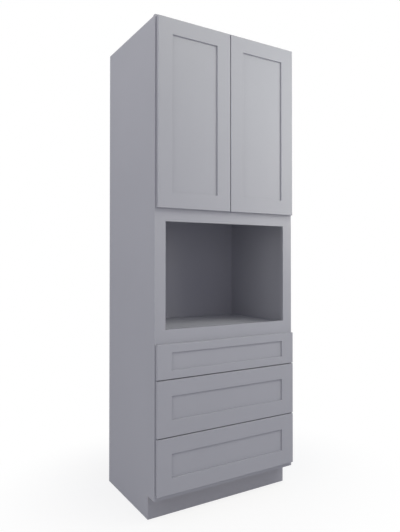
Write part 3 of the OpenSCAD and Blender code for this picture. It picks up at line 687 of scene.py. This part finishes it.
# Locking clips: grey moulded ABS, screwed under the front corners of each drawer bottom beside
# the runners. Each has a ribbed lever that the fingers press to lift the drawer off its slides.
CLIP_W, CLIP_L, CLIP_H = 0.026, 0.046, 0.0105
CLIP_EASE = 0.0012
LEVER_W, LEVER_L, LEVER_T = 0.020, 0.034, 0.0026
LEVER_ROOT, LEVER_START, LEVER_UP = 0.001, 0.004, 0.002
LEVER_EASE = 0.0008
RIBS, RIB_PITCH, RIB_W = 5, 0.0028, 0.0012
RIBS_FROM, RIBS_START = 0.006, 0.008
RIB_LOW, RIB_HIGH, RIB_EASE = 0.0012, 0.0028, 0.0003
CLIP_FROM_RUNNER = 0.006
RUNNER_W = 0.0304
FLOW_MM = 16.67
# The mould's real grit is about 0.1 mm. It is drawn coarser, so that it shows.
GRIT_MM = 0.625


def rounded_box(body, low, high, edge):
    """Adds a box with rounded edges to a bmesh."""
    made = bmesh.ops.create_cube(body, size=1.0)["verts"]
    bmesh.ops.scale(body, verts=made, vec=Vector(high) - Vector(low))
    bmesh.ops.translate(body, verts=made, vec=(Vector(high) + Vector(low)) / 2)
    edges = list({e for v in made for e in v.link_edges})
    bmesh.ops.bevel(body, geom=edges, offset=edge, segments=2, profile=0.7, affect="EDGES")


clip_mesh = bpy.data.meshes.new("locking_clip")
body = bmesh.new()
rounded_box(body, (0, 0, -CLIP_H), (CLIP_W, CLIP_L, 0), CLIP_EASE)
lever_z = LEVER_UP - CLIP_H
rounded_box(body, (CLIP_W - LEVER_ROOT, LEVER_START, lever_z),
            (CLIP_W + LEVER_W, LEVER_START + LEVER_L, lever_z + LEVER_T), LEVER_EASE)
for i in range(RIBS):
    x = CLIP_W + RIBS_FROM + i * RIB_PITCH
    rounded_box(body, (x, RIBS_START, RIB_LOW - CLIP_H),
                (x + RIB_W, LEVER_L, RIB_HIGH - CLIP_H), RIB_EASE)
body.to_mesh(clip_mesh)
body.free()
# Moulded ABS: an even mid grey, matt from the mould's spark-eroded grit, with faint flow marks.
grey_abs, tree = new_material("moulded_grey_abs")
place = add(tree, "TexCoord").outputs["Object"]
grit = add(tree, "TexNoise", {"Vector": place, "Scale": 1000 / GRIT_MM, "Detail": 2.0})
grit = grit.outputs["Fac"]
flow = add(tree, "TexNoise", {"Vector": place, "Scale": 1000 / FLOW_MM, "Detail": 2.0})
tint = add(tree, "MixRGB", {"Fac": flow.outputs["Fac"], "Color1": linear("#6f7276"),
                            "Color2": linear("#7b7e82")})
matt = add(tree, "MapRange", {"Value": grit, "To Min": 0.42, "To Max": 0.56})
relief = add(tree, "Bump", {"Height": grit, "Strength": 0.2, "Distance": 0.0001})
plastic = add(tree, "BsdfPrincipled", {"Base Color": tint, "Roughness": matt, "IOR": 1.53,
                                       "Normal": relief})
add(tree, "OutputMaterial", {"Surface": plastic})
mirrored = Matrix.Scale(-1, 4, (1, 0, 0))
for drawer in ("top", "middle", "bottom"):
    bottom_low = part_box(f"{drawer}_drawer_bottom")[0]
    ends_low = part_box(f"{drawer}_drawer_ends")[0]
    runners_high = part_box(f"{drawer}_drawer_slide_runners")[1]
    spot = (runners_high[0] - RUNNER_W - CLIP_FROM_RUNNER, ends_low[1] + BOX_T, bottom_low[2])
    right = Matrix.Translation(spot) @ mirrored
    piece = copies(f"{drawer}_drawer_locking_clips", clip_mesh, grey_abs,
                   [right, mirrored @ right])
    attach(piece, f"{drawer}_drawer")


# Staples: a row of galvanised wire staples through the back panel into the oven shelf's edge.
# Only their crowns show, pressed a little into the plywood, and most sit a little askew.
CROWN_W, WIRE_W = 0.0115, 0.0012
CROWN_SUNK, CROWN_PROUD, CROWN_EASE = 0.0003, 0.0005, 0.0003
STAPLE_PITCH = 0.095
STAPLES_FROM_SIDES = 0.03
STAPLE_TURN_DEG = 8
staple = bpy.data.meshes.new("staple_crown")
body = bmesh.new()
rounded_box(body, (-CROWN_W / 2, -WIRE_W / 2, -CROWN_SUNK),
            (CROWN_W / 2, WIRE_W / 2, CROWN_PROUD), CROWN_EASE)
body.to_mesh(staple)
body.free()
deck_low, deck_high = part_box("oven_deck")
back_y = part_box("back_panel")[1][1]
deck_z = (deck_low[2] + deck_high[2]) / 2
count = int((deck_high[0] - deck_low[0] - 2 * STAPLES_FROM_SIDES) / STAPLE_PITCH)
places = []
for i in range(count + 1):
    turn = math.radians(STAPLE_TURN_DEG * math.sin(5 * i))
    spot = ((i - count / 2) * STAPLE_PITCH, back_y, deck_z)
    places.append(toward((0, 1, 0), spot) @ Matrix.Rotation(turn, 4, "Z"))
piece = copies("back_panel_staples", staple, zinc, places)
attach(piece, "carcass")
